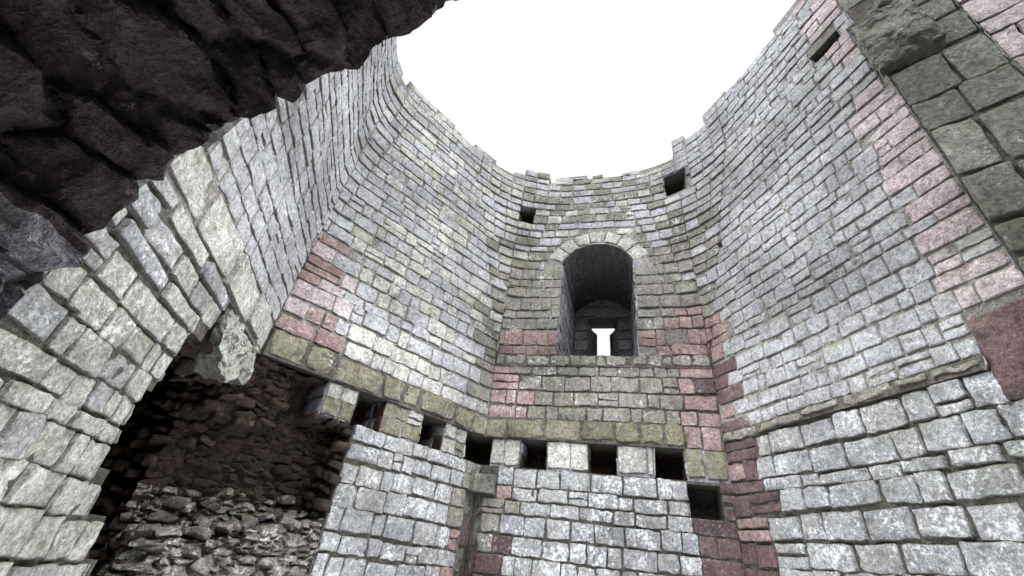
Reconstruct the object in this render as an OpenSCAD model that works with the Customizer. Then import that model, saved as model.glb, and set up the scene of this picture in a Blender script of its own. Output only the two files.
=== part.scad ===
// Ruined keep tower: six-sided room with thick coursed walls, open to the sky.
// Looking along +Y the window wall is at the back and the doorway at the front.
// Every wall is drawn in its own frame: x to the right as seen from the room,
// y outwards from the centre, z up from the ground.

/* [Plan] */
// Length of one inner side of the room
room_side = 3000; // [2600:10:3400]
// Thickness of the walls
wall_t = 2200; // [2000:10:2600]

/* [Heights] */
// Floor of the joist sockets
socket_z = 2630; // [2500:10:2700]
// Height of a joist socket
socket_h = 350; // [250:10:400]
// Height of the lintel course over the sockets
lintel_course_h = 280; // [200:10:350]
// Mean height of the broken wall head
head_z = 7800; // [7500:10:9000]
// Height of one course of stone
course_h = 210; // [160:10:260]

/* [Joist sockets] */
// Depth of a socket behind the wall face
socket_depth = 450; // [300:10:600]
// Width of a joist socket
socket_w = 360; // [250:10:400]

/* [String courses] */
// How far the string courses stand out of the wall
string_out = 40; // [20:5:60]
// Height of the thin string course on the right
thin_string_h = 100; // [80:5:140]

/* [Window] */
// Width of the window recess at the room
recess_w = 1160; // [1000:10:1300]
// Width of the window recess at its back
recess_back_w = 1100; // [900:10:1200]
// Sill of the window recess above the ground
recess_sill_z = 4190; // [4000:10:4400]
// Springing of its vault above the ground
recess_spring_z = 5900; // [5700:10:6000]
// Rise of its vault
recess_rise = 380; // [300:10:450]
// Thickness of the wall that holds the loop
loop_wall_t = 400; // [300:10:500]
// Width of the loop inside
loop_in_w = 600; // [500:10:700]
// Width of the loop outside
loop_out_w = 260; // [200:10:320]
// Sill of the loop above the ground
loop_sill_z = 4600; // [4400:10:4800]
// Underside of the loop's lintel above the ground
loop_top_z = 5840; // [5700:10:5860]
// Thickness of the arch ring
ring_t = 260; // [180:10:320]
// Depth of the arch ring behind the wall face
ring_depth = 300; // [200:10:400]
// Number of arch stones
ring_stones = 7; // [5:2:11]
// Joint between two arch stones
ring_joint = 12; // [8:1:16]

/* [Rounded corners] */
// Height above the ground where the corners of the room begin to round
round_foot_z = 4600; // [4300:50:5500]
// Radius at the wall heads of the two corners beside the window
round_back_r = 1800; // [1200:50:2000]
// Radius at the wall heads of the other corners
round_front_r = 900; // [600:50:1500]

/* [Doorway] */
// Left jamb of the doorway, from the middle of its wall
door_left = 750; // [700:10:900]
// Right jamb of the doorway, from the middle of its wall
door_right = 1150; // [1000:10:1250]
// Place of the arch's point, right of the middle of the wall
door_point = 150; // [0:10:250]
// Springing of the doorway's arch above the ground
door_spring_z = 1600; // [1400:10:1700]
// Rise of the doorway's arch
door_rise = 1300; // [1200:10:1320]

/* [Breach] */
// Edge of the breach in the front left wall, right of its middle
breach_left = 100; // [0:10:300]
// Edge of the breach in the back left wall, left of its middle
breach_right = 350; // [250:10:500]
// Depth of the breach in the front left wall
breach_depth = 1300; // [1000:10:1400]

/* [Front right gap] */
// Near edge of the gap in the front right wall, right of its middle
gap_edge = 800; // [600:10:1100]
// Broken foot of the gap above the ground
gap_sill_z = 3230; // [3100:10:3400]

/* [Plinth] */
// Height of the thicker base outside
base_z = 1000; // [800:10:1200]
// How far the base stands out of the wall
base_out = 60; // [40:5:90]
// How far the course on the base stands out of the wall
plinth_out = 110; // [95:5:140]
// Height of that course, and again of its sloping top
plinth_h = 120; // [80:5:160]

/* [Hidden] */

// Walls in order, clockwise from above, by the turn of their outward face
BACK = 0;
BACK_RIGHT = 60;
FRONT_RIGHT = 120;
FRONT = 180;
FRONT_LEFT = 240;
BACK_LEFT = 300;

limestone = "#a9aaa6";
sandstone = "#8d9077";
red_stone = "#8f6f6b";
core_stone = "#5f534a";

// Half of the corner angle gives the slant of the mitre between two walls
mitre = tan(30);
face_y = room_side / 2 / mitre;
outer_y = face_y + wall_t;
lintel_z = socket_z + socket_h;
upper_z = lintel_z + lintel_course_h;
thin_string_top_z = upper_z - 80;
thin_string_z = thin_string_top_z - thin_string_h;
socket_back_y = face_y + socket_depth;
half_room = room_side / 2;

// Leaves of a wall: dressed faces with rubble between them
leaf_t = 420;
core_drop = 1.2 * course_h;
step_len = 520;

// Joist sockets: middles in their walls, and the walls' own clear stretches between them
left_sockets = [555 - half_room, -235, half_room - 855];
back_sockets = [700 - half_room, 75, half_room - 635];
corner_socket_left = 310;
corner_socket_back = 130;

// Breach: how far its foot runs on past its edge, and how far lump and rubble stand back
breach_foot = 500;
breach_foot_z = 1350;
lump_back = 180;
rubble_back = 90;

// Stepped edges of the breach and the gap: for each step its reach past the edge, and its foot
breach_steps = [[330, 0], [100, course_h], [-60, 2 * course_h], [40, 4 * course_h], [260, 6 * course_h]];
gap_steps = [[0, 0], [120, 900], [300, 2100], [650, 3000]];

// Broken stone at the head of the breach: how far it hangs down, and its depth
fragment_drop = 440;
fragment_depth = 350;

// Red blocks at the right corner: reach along the wall, foot and depth
block_reach = 400;
block_foot_z = 2850;
block_depth = 350;
block_out = 25;
block_gap = 12;
block_top_z = 3460;

// Chase in the left corner: its reach along both walls, under a block that stands out of the corner
chase_left_w = 180;
chase_back_w = 100;
chase_depth = 80;
chase_block_z = 2290;
chase_block_h = 210;
chase_block_left = 150;
chase_block_back = 250;
chase_block_out = 110;

// Thin course under the window, and the end of the lintel course that stands out of the back wall
sill_course_h = 170;
sill_out = 30;
lintel_end = half_room - 450;

// Broken stone that juts from the gap's jamb: foot, height, reach into the gap and depth
overhang_z = 6050;
overhang_h = 950;
overhang_out = 230;
overhang_front = 60;
overhang_depth = 420;

// Putlog holes and lost stones: wall, middle across, middle height, width, height
holes = [
  [BACK, 230 - half_room, 6960, 330, 400],
  [BACK, half_room - 170, 7360, 340, 440],
  [BACK_RIGHT, 510 - half_room, 5760, 110, 140],
  [BACK_RIGHT, half_room - 325, 7200, 370, 200]
];
hole_depth = 400;

// Head of the loop, wider where stones are lost from its jambs
loop_break_h = 150;
loop_break_w = 480;

// The corners round in bands of this many, each with a small ledge where it begins
round_bands = 8;
round_lip = 12;

recess_r = (pow(recess_w / 2, 2) + pow(recess_rise, 2)) / (2 * recess_rise);
recess_axis_z = recess_spring_z + recess_rise - recess_r;
recess_back_y = outer_y - loop_wall_t;
spring_angle = asin((recess_spring_z - recess_axis_z) / recess_r);

low_socket_z = 2250;
low_socket_x = half_room - 295;
arc_facets = 96;

module facing(turn) {
  rotate([0, 0, -turn])
    children();
}

// Upright prism between two planes, from one mitre or cut to the other
module block(z0, z1, y0, y1, x0 = undef, x1 = undef) {
  left0 = is_undef(x0) ? -y0 * mitre : x0;
  left1 = is_undef(x0) ? -y1 * mitre : x0;
  right0 = is_undef(x1) ? y0 * mitre : x1;
  right1 = is_undef(x1) ? y1 * mitre : x1;
  translate([0, 0, z0])
    linear_extrude(z1 - z0)
      polygon([[left0, y0], [right0, y0], [right1, y1], [left1, y1]]);
}

// Wall from the ground up, thicker at its base
module based_wall(z1, y0, x0 = undef, x1 = undef) {
  block(0, z1, y0, outer_y, x0, x1);
  block(0, base_z, y0, outer_y + base_out, x0, x1);
}

// Outline drawn in x and z, given its depth along y
module upright(y0, y1) {
  translate([0, y1, 0])
    rotate([90, 0, 0])
      linear_extrude(y1 - y0)
        children();
}

// Stepped edge of a broken wall, from a foot to a head
function stepped_edge(edge, foot_z, steps, top_z) =
  [for (i = [0 : len(steps) - 1])
    let (low = foot_z + steps[i][1])
    let (high = i < len(steps) - 1 ? foot_z + steps[i + 1][1] : top_z)
    each [[edge + steps[i][0], low], [edge + steps[i][0], high]]];

// Broken top line: steps of whole stones round a mean line from one height to another
function broken_line(x0, x1, z0, z1, drop, seed) =
  let (count = ceil((x1 - x0) / step_len), pick = rands(-1.4, 1.4, count, seed))
  [for (i = [0 : count - 1])
    let (a = x0 + (x1 - x0) * i / count, b = x0 + (x1 - x0) * (i + 1) / count)
    let (z = z0 + (z1 - z0) * (i + 0.5) / count - drop + round(pick[i]) * course_h / 2)
    each [[a, z], [b, z]]];

module broken_leaf(foot_z, y0, y1, x0, x1, z0, z1, drop, seed) {
  upright(y0, y1)
    polygon(concat([[x1, foot_z], [x0, foot_z]], broken_line(x0, x1, z0, z1, drop, seed)));
}

// One wall's half of a rounded corner: its radius grows with each band of courses, which runs back into the wall
module rounding(side, top_r) {
  band_h = (head_z - round_foot_z) / round_bands;
  for (i = [1 : round_bands]) {
    r = top_r * i / round_bands;
    x = -side * r * mitre;
    translate([side * half_room, face_y, round_foot_z + (i - 1) * band_h])
      difference() {
        linear_extrude(i < round_bands ? band_h : head_z)
          polygon([[0, 0], [0, leaf_t / 2], [x, leaf_t / 2], [x, -r]]);
        translate([x, -r, -1])
          cylinder(h = head_z + 2, r = r - round_lip, $fn = arc_facets);
      }
  }
}

// Wall with a broken head: the inner and outer leaves stand a little above the rubble core
module headed_wall(foot_z, z0, z1, seed, x0 = undef, x1 = undef, round_left = 0, round_right = 0) {
  far = outer_y * mitre;
  left = is_undef(x0) ? -far : x0;
  right = is_undef(x1) ? far : x1;
  intersection() {
    union() {
      broken_leaf(foot_z, face_y - half_room, face_y + leaf_t, left, right, z0, z1, 0, seed);
      broken_leaf(foot_z, face_y + leaf_t, outer_y - leaf_t, left, right, z0, z1, core_drop, seed + 1);
      broken_leaf(foot_z, outer_y - leaf_t, outer_y, left, right, z0, z1, 0, seed + 2);
    }
    union() {
      block(0, 2 * head_z, face_y, outer_y, x0, x1);
      if (round_left > 0)
        rounding(-1, round_left);
      if (round_right > 0)
        rounding(1, round_right);
    }
  }
}

module wall_holes(turn) {
  for (hole = holes)
    if (hole[0] == turn)
      translate([hole[1] - hole[3] / 2, face_y - half_room, hole[2] - hole[4] / 2])
        cube([hole[3], half_room + hole_depth, hole[4]]);
}

// Seat of the red corner blocks, cut from the walls round it
module block_seat() {
  facing(BACK_RIGHT)
    block(block_foot_z, block_top_z, face_y - 2 * string_out, face_y + block_depth, x0 = half_room - block_reach);
}

// Plinth

module plinth_length(x0 = undef, x1 = undef) {
  reach = 2 * room_side;
  intersection() {
    translate([-reach, 0, 0])
      rotate([90, 0, 90])
        linear_extrude(2 * reach)
          polygon([[outer_y, base_z], [outer_y + plinth_out, base_z], [outer_y + plinth_out, base_z + plinth_h],
            [outer_y, base_z + 2 * plinth_h]]);
    block(base_z, base_z + 2 * plinth_h, outer_y, outer_y + plinth_out, x0, x1);
  }
}

// Sloping course on the base, all round the outside but for the doorway
module plinth_course() {
  color(sandstone) {
    for (turn = [BACK, BACK_RIGHT, FRONT_RIGHT, FRONT_LEFT, BACK_LEFT])
      facing(turn)
        plinth_length();
    facing(FRONT) {
      plinth_length(x0 = door_left);
      plinth_length(x1 = -door_right);
    }
  }
}

// Lower walls

module lower_back_wall() {
  color(limestone)
    facing(BACK)
      difference() {
        based_wall(socket_z, face_y);
        block(-1, chase_block_z, face_y - 1, face_y + chase_depth, x1 = chase_back_w - half_room);
        translate([low_socket_x - socket_w / 2, face_y - 1, low_socket_z])
          cube([socket_w, socket_depth + 1, socket_h]);
      }
}

module lower_back_right_wall() {
  color(limestone)
    difference() {
      facing(BACK_RIGHT)
        based_wall(thin_string_z, face_y);
      block_seat();
    }
}

// Foot of the gap: one broken course lies on it between the jamb and the near edge
module lower_front_right_wall() {
  z = gap_sill_z;
  color(limestone)
    facing(FRONT_RIGHT) {
      based_wall(z, face_y);
      broken_leaf(z - 1, face_y, outer_y, -half_room, gap_edge, z + course_h / 2, z + course_h, 0, 11);
    }
}

// Left part of the front left wall, up to the stepped edge of the breach
module lower_front_left_wall() {
  far = outer_y * mitre;
  edge = breach_left;
  foot = edge + breach_foot;
  color(limestone)
    facing(FRONT_LEFT) {
      intersection() {
        upright(face_y, face_y + breach_depth)
          polygon(concat([[-far, 0], [foot, 0], [foot, breach_foot_z]],
            stepped_edge(edge, breach_foot_z, breach_steps, lintel_z), [[-far, lintel_z]]));
        block(0, lintel_z, face_y, outer_y);
      }
      based_wall(lintel_z, face_y + breach_depth, x1 = foot);
    }
}

// Right part of the back left wall, with a shallow chase at the corner
module lower_back_left_wall() {
  color(limestone)
    facing(BACK_LEFT)
      difference() {
        based_wall(socket_z, face_y, x0 = -breach_right);
        block(-1, chase_block_z, face_y - 1, face_y + chase_depth, x0 = half_room - chase_left_w);
      }
}

// Breach in the left corner

module breach_core_left() {
  color(core_stone)
    facing(FRONT_LEFT)
      based_wall(lintel_z, face_y + breach_depth, x0 = breach_left + breach_foot);
}

module breach_core_right() {
  color(core_stone)
    facing(BACK_LEFT)
      based_wall(lintel_z, socket_back_y, x1 = -breach_right);
}

// Lump of core left beside the first socket
module breach_lump() {
  color(core_stone)
    facing(BACK_LEFT)
      block(socket_z - course_h, lintel_z, face_y + lump_back, socket_back_y, x1 = left_sockets[0] - socket_w / 2);
}

// Rubble left standing in the foot of the breach
module breach_rubble() {
  color(core_stone)
    facing(BACK_LEFT)
      intersection() {
        upright(face_y + rubble_back, socket_back_y)
          polygon([[-breach_right, 0], [-breach_right, 1750], [-800, 1650], [-1200, 1480],
            [-2 * room_side, 1300], [-2 * room_side, 0]]);
        block(0, socket_z, face_y, outer_y);
      }
}

// Broken stone that hangs from the head of the breach
module breach_fragment() {
  z = lintel_z - fragment_drop;
  color(limestone)
    facing(FRONT_LEFT)
      upright(face_y, face_y + fragment_depth)
        polygon([[560, lintel_z], [600, z + 200], [760, z + 150], [880, z + 40], [1060, z], [1240, z + 100],
          [half_room, z + 150], [half_room, lintel_z]]);
}

// Joist sockets

module joist_backing_left() {
  color(limestone)
    facing(BACK_LEFT)
      block(socket_z, lintel_z, socket_back_y, outer_y, x0 = -breach_right);
}

module joist_backing_back() {
  color(limestone)
    facing(BACK)
      block(socket_z, lintel_z, socket_back_y, outer_y);
}

module joist_piers_left() {
  s = left_sockets;
  half = socket_w / 2;
  color(limestone)
    facing(BACK_LEFT) {
      block(socket_z, lintel_z, face_y, socket_back_y, s[0] + half, s[1] - half);
      block(socket_z, lintel_z, face_y, socket_back_y, s[1] + half, s[2] - half);
      block(socket_z, lintel_z, face_y, socket_back_y, s[2] + half, half_room - corner_socket_left);
    }
}

module joist_piers_back() {
  s = back_sockets;
  half = socket_w / 2;
  color(limestone)
    facing(BACK) {
      block(socket_z, lintel_z, face_y, socket_back_y, corner_socket_back - half_room, s[0] - half);
      block(socket_z, lintel_z, face_y, socket_back_y, s[0] + half, s[1] - half);
      block(socket_z, lintel_z, face_y, socket_back_y, s[1] + half, s[2] - half);
      block(socket_z, lintel_z, face_y, socket_back_y, x0 = s[2] + half);
    }
}

module lintel_course_left() {
  color(sandstone)
    facing(BACK_LEFT)
      block(lintel_z, upper_z, face_y - string_out, outer_y);
}

module lintel_course_back() {
  color(sandstone)
    facing(BACK) {
      block(lintel_z, upper_z, face_y, outer_y);
      block(lintel_z, upper_z, face_y - string_out, face_y + 1, x1 = lintel_end);
    }
}

module string_course_right() {
  color(sandstone)
    difference() {
      facing(BACK_RIGHT)
        block(thin_string_z, thin_string_top_z, face_y - string_out, outer_y);
      block_seat();
    }
}

// Doorway

// Half of the pointed arch as seen from the room, on the side given by its sign
module door_haunch(side, half_span) {
  r = (pow(half_span, 2) + pow(door_rise, 2)) / (2 * half_span);
  jamb = -door_point + side * half_span;
  difference() {
    block(door_spring_z, lintel_z, face_y, outer_y,
      x0 = side > 0 ? -door_point : undef, x1 = side > 0 ? undef : -door_point);
    translate([jamb - side * r, outer_y + 1, door_spring_z])
      rotate([90, 0, 0])
        cylinder(h = wall_t + 2, r = r, $fn = arc_facets);
  }
}

module door_side_left() {
  color(limestone)
    facing(FRONT)
      based_wall(door_spring_z, face_y, x0 = door_left);
}

module door_side_right() {
  color(limestone)
    facing(FRONT)
      based_wall(door_spring_z, face_y, x1 = -door_right);
}

module door_vault_left() {
  color(core_stone)
    facing(FRONT)
      door_haunch(1, door_left + door_point);
}

module door_vault_right() {
  color(core_stone)
    facing(FRONT)
      door_haunch(-1, door_right - door_point);
}

// Upper walls

module upper_back_left_wall() {
  color(limestone)
    difference() {
      facing(BACK_LEFT)
        headed_wall(upper_z, head_z, head_z, 21, round_left = round_front_r, round_right = round_back_r);
      wall_holes(BACK);
    }
}

module upper_front_left_wall() {
  color(limestone)
    facing(FRONT_LEFT)
      headed_wall(lintel_z, head_z - 2 * course_h, head_z, 31, round_left = round_front_r, round_right = round_front_r);
}

module upper_front_wall() {
  color(limestone)
    facing(FRONT)
      headed_wall(lintel_z, head_z - 4 * course_h, head_z - 2 * course_h, 41,
        round_left = round_front_r, round_right = round_front_r);
}

module upper_front_right_wall() {
  far = outer_y * mitre;
  z = gap_sill_z;
  color(limestone)
    facing(FRONT_RIGHT)
      intersection() {
        headed_wall(z, head_z - 5 * course_h, head_z - 4 * course_h, 51, x0 = gap_edge, round_right = round_front_r);
        upright(face_y - half_room, outer_y)
          polygon(concat(stepped_edge(gap_edge, z, gap_steps, head_z), [[far, head_z], [far, z]]));
      }
}

// Squared end of the back right wall, which faces the gap
module gap_jamb() {
  color(sandstone)
    facing(FRONT_RIGHT)
      headed_wall(gap_sill_z, head_z + 2 * course_h, head_z + course_h, 61, x1 = -half_room);
}

// Broken stone left hanging on that end
module jamb_overhang() {
  x = -half_room;
  z = overhang_z;
  color(sandstone)
    facing(FRONT_RIGHT)
      upright(face_y - overhang_front, face_y + overhang_depth)
        polygon([[x, z], [x + overhang_out / 2, z + overhang_h / 30], [x + overhang_out, z + overhang_h / 3],
          [x + overhang_out, z + overhang_h * 2 / 3], [x + overhang_out / 2, z + overhang_h], [x, z + overhang_h]]);
}

module upper_back_right_wall() {
  color(limestone)
    difference() {
      facing(BACK_RIGHT)
        difference() {
          headed_wall(thin_string_top_z, head_z + 2 * course_h, head_z + 4 * course_h, 71, round_left = round_back_r);
          wall_holes(BACK_RIGHT);
        }
      wall_holes(BACK);
      block_seat();
    }
}

// Window

// Upright prism over the plan of the recess, as wide as its splayed sides at every depth
module recess_plan(z0, z1) {
  translate([0, 0, z0])
    linear_extrude(z1 - z0)
      polygon([[-recess_w / 2, face_y], [recess_w / 2, face_y], [recess_back_w / 2, recess_back_y],
        [recess_back_w / 2, outer_y], [-recess_back_w / 2, outer_y], [-recess_back_w / 2, recess_back_y]]);
}

module arch_disc(y0, y1, r) {
  translate([0, y1, recess_axis_z])
    rotate([90, 0, 0])
      cylinder(h = y1 - y0, r = r, $fn = arc_facets);
}

// Fan in the plane of the wall, drawn round the vault's axis
module arch_fan() {
  translate([0, outer_y, recess_axis_z])
    rotate([90, 0, 0])
      linear_extrude(outer_y)
        children();
}

// Room for the arch stones in the wall, open to the recess below them
module arch_seat() {
  reach = 2 * recess_w;
  foot = reach * tan(spring_angle);
  intersection() {
    arch_disc(face_y - 1, face_y + ring_depth, recess_r + ring_t);
    arch_fan()
      polygon([[0, 0], [reach, foot], [reach, reach + foot], [-reach, reach + foot], [-reach, foot]]);
  }
}

module window_cuts() {
  recess_plan(recess_sill_z - 1, 2 * head_z);
  arch_seat();
  wall_holes(BACK);
}

module window_sill_wall() {
  color(limestone)
    facing(BACK)
      block(upper_z, recess_sill_z - sill_course_h, face_y, outer_y);
}

module sill_course() {
  color(limestone)
    facing(BACK)
      block(recess_sill_z - sill_course_h, recess_sill_z, face_y - sill_out, outer_y);
}

module window_side_left() {
  color(limestone)
    facing(BACK)
      difference() {
        headed_wall(recess_sill_z, head_z + course_h, head_z + course_h / 2, 81, x1 = 0, round_left = round_back_r);
        window_cuts();
      }
}

module window_side_right() {
  color(limestone)
    facing(BACK)
      difference() {
        headed_wall(recess_sill_z, head_z, head_z + 3 * course_h, 85, x0 = 0, round_right = round_back_r);
        window_cuts();
      }
}

module window_vault() {
  color(limestone)
    facing(BACK)
      difference() {
        intersection() {
          headed_wall(recess_spring_z, head_z + course_h / 2, head_z + course_h / 2, 91,
            x0 = -recess_w / 2, x1 = recess_w / 2);
          recess_plan(recess_spring_z, 2 * head_z);
        }
        arch_disc(face_y - 1, recess_back_y, recess_r);
        arch_seat();
      }
}

// Arch stones, each a slice of the ring between two joints
module window_arch() {
  slice = (180 - 2 * spring_angle) / ring_stones;
  reach = 2 * recess_w;
  tip = ring_joint / 2 / sin(slice / 2);
  half = (reach - tip) * tan(slice / 2);
  color(sandstone)
    facing(BACK)
      for (i = [0 : ring_stones - 1])
        difference() {
          intersection() {
            arch_disc(face_y, face_y + ring_depth, recess_r + ring_t);
            arch_fan()
              rotate(spring_angle + slice * (i + 0.5))
                polygon([[tip, 0], [reach, -half], [reach, half]]);
          }
          arch_disc(face_y - 1, face_y + ring_depth + 1, recess_r);
        }
}

// Jamb of the loop on one side, up to its head and on to the lintel where stones are lost
module loop_jamb(side) {
  for (part = [[loop_sill_z, loop_top_z - loop_break_h, loop_out_w], [loop_sill_z, loop_top_z, loop_break_w]])
    translate([0, 0, part[0]])
      linear_extrude(part[1] - part[0])
        polygon([[side * recess_back_w / 2, recess_back_y], [side * loop_in_w / 2, recess_back_y],
          [side * part[2] / 2, outer_y], [side * recess_back_w / 2, outer_y]]);
}

module loop_sill() {
  color(sandstone)
    facing(BACK)
      block(recess_sill_z, loop_sill_z, recess_back_y, outer_y, -recess_back_w / 2, recess_back_w / 2);
}

module loop_jamb_left() {
  color(sandstone)
    facing(BACK)
      loop_jamb(-1);
}

module loop_jamb_right() {
  color(sandstone)
    facing(BACK)
      loop_jamb(1);
}

module loop_lintel() {
  color(sandstone)
    facing(BACK)
      block(loop_top_z, recess_spring_z, recess_back_y, outer_y, -recess_back_w / 2, recess_back_w / 2);
}

// Corner stones

// Two long red blocks that stand out at the foot of the gap's jamb
module corner_blocks() {
  half = (block_top_z - block_foot_z - block_gap) / 2;
  color(red_stone)
    facing(BACK_RIGHT)
      for (z = [block_foot_z, block_top_z - half])
        block(z, z + half, face_y - block_out, face_y + block_depth, x0 = half_room - block_reach);
}

// Mossy block that stands out of the left corner, over the chase
module chase_block() {
  out = chase_block_out;
  color(sandstone)
    facing(BACK)
      translate([-half_room, face_y, chase_block_z])
        linear_extrude(chase_block_h)
          difference() {
            union() {
              translate([-out, -out])
                square([chase_block_back + out, out]);
              rotate(60)
                translate([-chase_block_left, -out])
                  square([chase_block_left, out]);
            }
            rotate(60)
              translate([-2 * chase_block_back, 0])
                square(2 * chase_block_back);
          }
}

plinth_course();
lower_back_wall();
lower_back_right_wall();
lower_front_right_wall();
lower_front_left_wall();
lower_back_left_wall();
door_side_left();
door_side_right();
door_vault_left();
door_vault_right();
breach_core_left();
breach_core_right();
breach_lump();
breach_rubble();
breach_fragment();
joist_backing_left();
joist_piers_left();
joist_backing_back();
joist_piers_back();
lintel_course_left();
lintel_course_back();
string_course_right();
upper_back_left_wall();
upper_front_left_wall();
upper_front_wall();
upper_front_right_wall();
gap_jamb();
jamb_overhang();
upper_back_right_wall();
window_sill_wall();
sill_course();
window_side_left();
window_side_right();
window_vault();
window_arch();
loop_sill();
loop_jamb_left();
loop_jamb_right();
loop_lintel();
corner_blocks();
chase_block();
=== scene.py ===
# Ruined keep tower: the stones, rubble, weathering, floor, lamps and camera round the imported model.
import math
import random

import bpy
import numpy as np
from mathutils import Matrix, Vector
from mathutils.bvhtree import BVHTree
from mathutils.noise import noise as noise_at


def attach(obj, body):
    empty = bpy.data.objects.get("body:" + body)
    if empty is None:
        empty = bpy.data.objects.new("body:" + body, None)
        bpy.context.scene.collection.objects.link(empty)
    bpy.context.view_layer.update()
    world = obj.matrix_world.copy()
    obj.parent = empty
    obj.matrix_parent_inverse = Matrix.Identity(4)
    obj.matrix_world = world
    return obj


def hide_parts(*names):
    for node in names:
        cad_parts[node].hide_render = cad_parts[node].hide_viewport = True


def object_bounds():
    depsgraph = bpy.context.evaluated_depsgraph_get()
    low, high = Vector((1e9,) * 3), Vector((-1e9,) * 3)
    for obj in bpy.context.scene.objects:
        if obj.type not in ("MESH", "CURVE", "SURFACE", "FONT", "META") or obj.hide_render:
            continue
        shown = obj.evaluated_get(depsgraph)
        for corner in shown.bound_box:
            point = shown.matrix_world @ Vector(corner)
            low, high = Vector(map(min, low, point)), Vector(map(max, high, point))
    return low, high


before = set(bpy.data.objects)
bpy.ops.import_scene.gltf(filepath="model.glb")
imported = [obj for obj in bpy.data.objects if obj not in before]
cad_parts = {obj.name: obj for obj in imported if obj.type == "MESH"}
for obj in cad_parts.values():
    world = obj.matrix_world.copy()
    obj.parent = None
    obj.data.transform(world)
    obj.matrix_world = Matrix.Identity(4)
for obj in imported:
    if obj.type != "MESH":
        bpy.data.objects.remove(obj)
cad_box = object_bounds()

# Sizes of the tower, in metres, as in the part's source. Each wall's inner face stands FACE from the
# middle of the room and its outer face OUTER, and HALF is half the width of the inner face.
ROOM_SIDE, WALL_T, HEAD_Z = 3.0, 2.2, 9.2
HALF, SLANT = ROOM_SIDE / 2, math.tan(math.radians(30))
FACE = HALF / SLANT
OUTER = FACE + WALL_T
OUTER_HALF = OUTER * SLANT
TURNS = {"back": 0, "back_right": 60, "front_right": 120, "front": 180, "front_left": 240, "back_left": 300}
# Plinth outside
BASE_Z, BASE_SLOPE, BASE_OUT = 1.0, 0.24, 0.06
# Doorway, with the depth of its arch stones
DOOR_LEFT, DOOR_RIGHT, DOOR_POINT, DOOR_SPRING_Z, DOOR_RISE, DOOR_RING = 0.75, 1.15, 0.15, 1.6, 1.3, 0.30
# Joist sockets and the middles of those on each wall, the chase in the left corner, and the breach
SOCKET_Z, SOCKET_W, SOCKET_DEPTH = 2.63, 0.36, 0.45
SOCKETS = {"back_left": (-0.945, -0.235, 0.645), "back": (-0.8, 0.075, 0.865)}
CHASE_TOP_Z, CHASE_DEPTH = 2.29, 0.08
BREACH_DEPTH = 1.3
# Lintel course, and the thin string course of the right wall
LINTEL_Z, UPPER_Z, STRING_Z, STRING_TOP_Z, STRING_OUT = 2.98, 3.26, 3.08, 3.18, 0.04
# Window recess: its sill course, sides, vault and the thin wall round the loop
SILL_Z, SPRING_Z, RISE, RECESS_TOP_Z = 4.19, 5.90, 0.38, 6.3
SILL_COURSE_Z, SILL_OUT = SILL_Z - 0.17, 0.03
RECESS_W, RECESS_BACK_W, LOOP_WALL_T, WINDOW_RING = 1.16, 1.10, 0.40, 0.26
RECESS_DEPTH = WALL_T - LOOP_WALL_T
RECESS_R = ((RECESS_W / 2) ** 2 + RISE**2) / (2 * RISE)
RECESS_AXIS_Z = SPRING_Z + RISE - RECESS_R
RECESS_TURN = math.acos((SPRING_Z - RECESS_AXIS_Z) / RECESS_R)
# Foot of the gap in the front right wall
GAP_SILL_Z = 3.23
# The corners of the room round in bands between these heights, to these radii left and right
ROUND_Z, ROUND_TOP_Z, ROUND_BANDS, ROUND_LIP = 4.6, 7.8, 8, 0.012
ROUNDS = {"back": (1.8, 1.8), "back_left": (0.9, 1.8), "back_right": (1.8, 0), "front_right": (0, 0.9),
          "front": (0.9, 0.9), "front_left": (0.9, 0.9)}


def linear(hex_colour):
    """An sRGB hex colour as linear values."""
    channels = [int(hex_colour[i : i + 2], 16) / 255 for i in (1, 3, 5)]
    return tuple(c / 12.92 if c <= 0.04045 else ((c + 0.055) / 1.055) ** 2.4 for c in channels) + (1.0,)


def add(tree, kind, *values, named=None, out=0, **settings):
    """Adds a node and gives one of its outputs. Inputs, in their order or by name, get values or links."""
    node = tree.nodes.new(kind)
    for name, value in settings.items():
        setattr(node, name, value)
    for name, value in [*enumerate(values), *(named or {}).items()]:
        if isinstance(value, bpy.types.NodeSocket):
            tree.links.new(value, node.inputs[name])
        else:
            node.inputs[name].default_value = value
    return node.outputs[out] if len(node.outputs) else None


MATH, VECTOR = "ShaderNodeMath", "ShaderNodeVectorMath"
NOISE, STRETCH = "ShaderNodeTexNoise", "ShaderNodeMapRange"

# Materials

# Scale, detail, roughness and distortion of each pattern in the stone: weathering and damp about a
# metre across, patches of lichen 400 mm with edges ragged at 30 mm, blotches 150 mm, mottling 40 mm,
# pits 25 mm, grain 12 mm, and grit 4 mm, which is coarser than real grit so that it shows
PATTERNS = {
    "weather": (1.1, 5.0, 0.62, 0.0), "damp": (1.4, 5.0, 0.7, 0.0), "patches": (2.6, 7.0, 0.74, 0.0),
    "blotch": (6.5, 4.0, 0.6, 0.0), "mottle": (24.0, 5.0, 0.68, 0.4), "pits": (42.0, 6.0, 0.8, 0.9),
    "ragged": (30.0, 5.0, 0.75, 0.0), "grain": (75.0, 4.0, 0.7, 0.0), "grit": (240.0, 2.0, 0.6, 0.0),
}
PATTERN_INPUTS = ("Scale", "Detail", "Roughness", "Distortion")
# Dirt that lies in pits, and painted shade on what faces down, where the stones' undersides are in shade
DIRT_IN_PITS, PAINTED_SHADE_BELOW = "#45423d", "#2f2c29"


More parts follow.
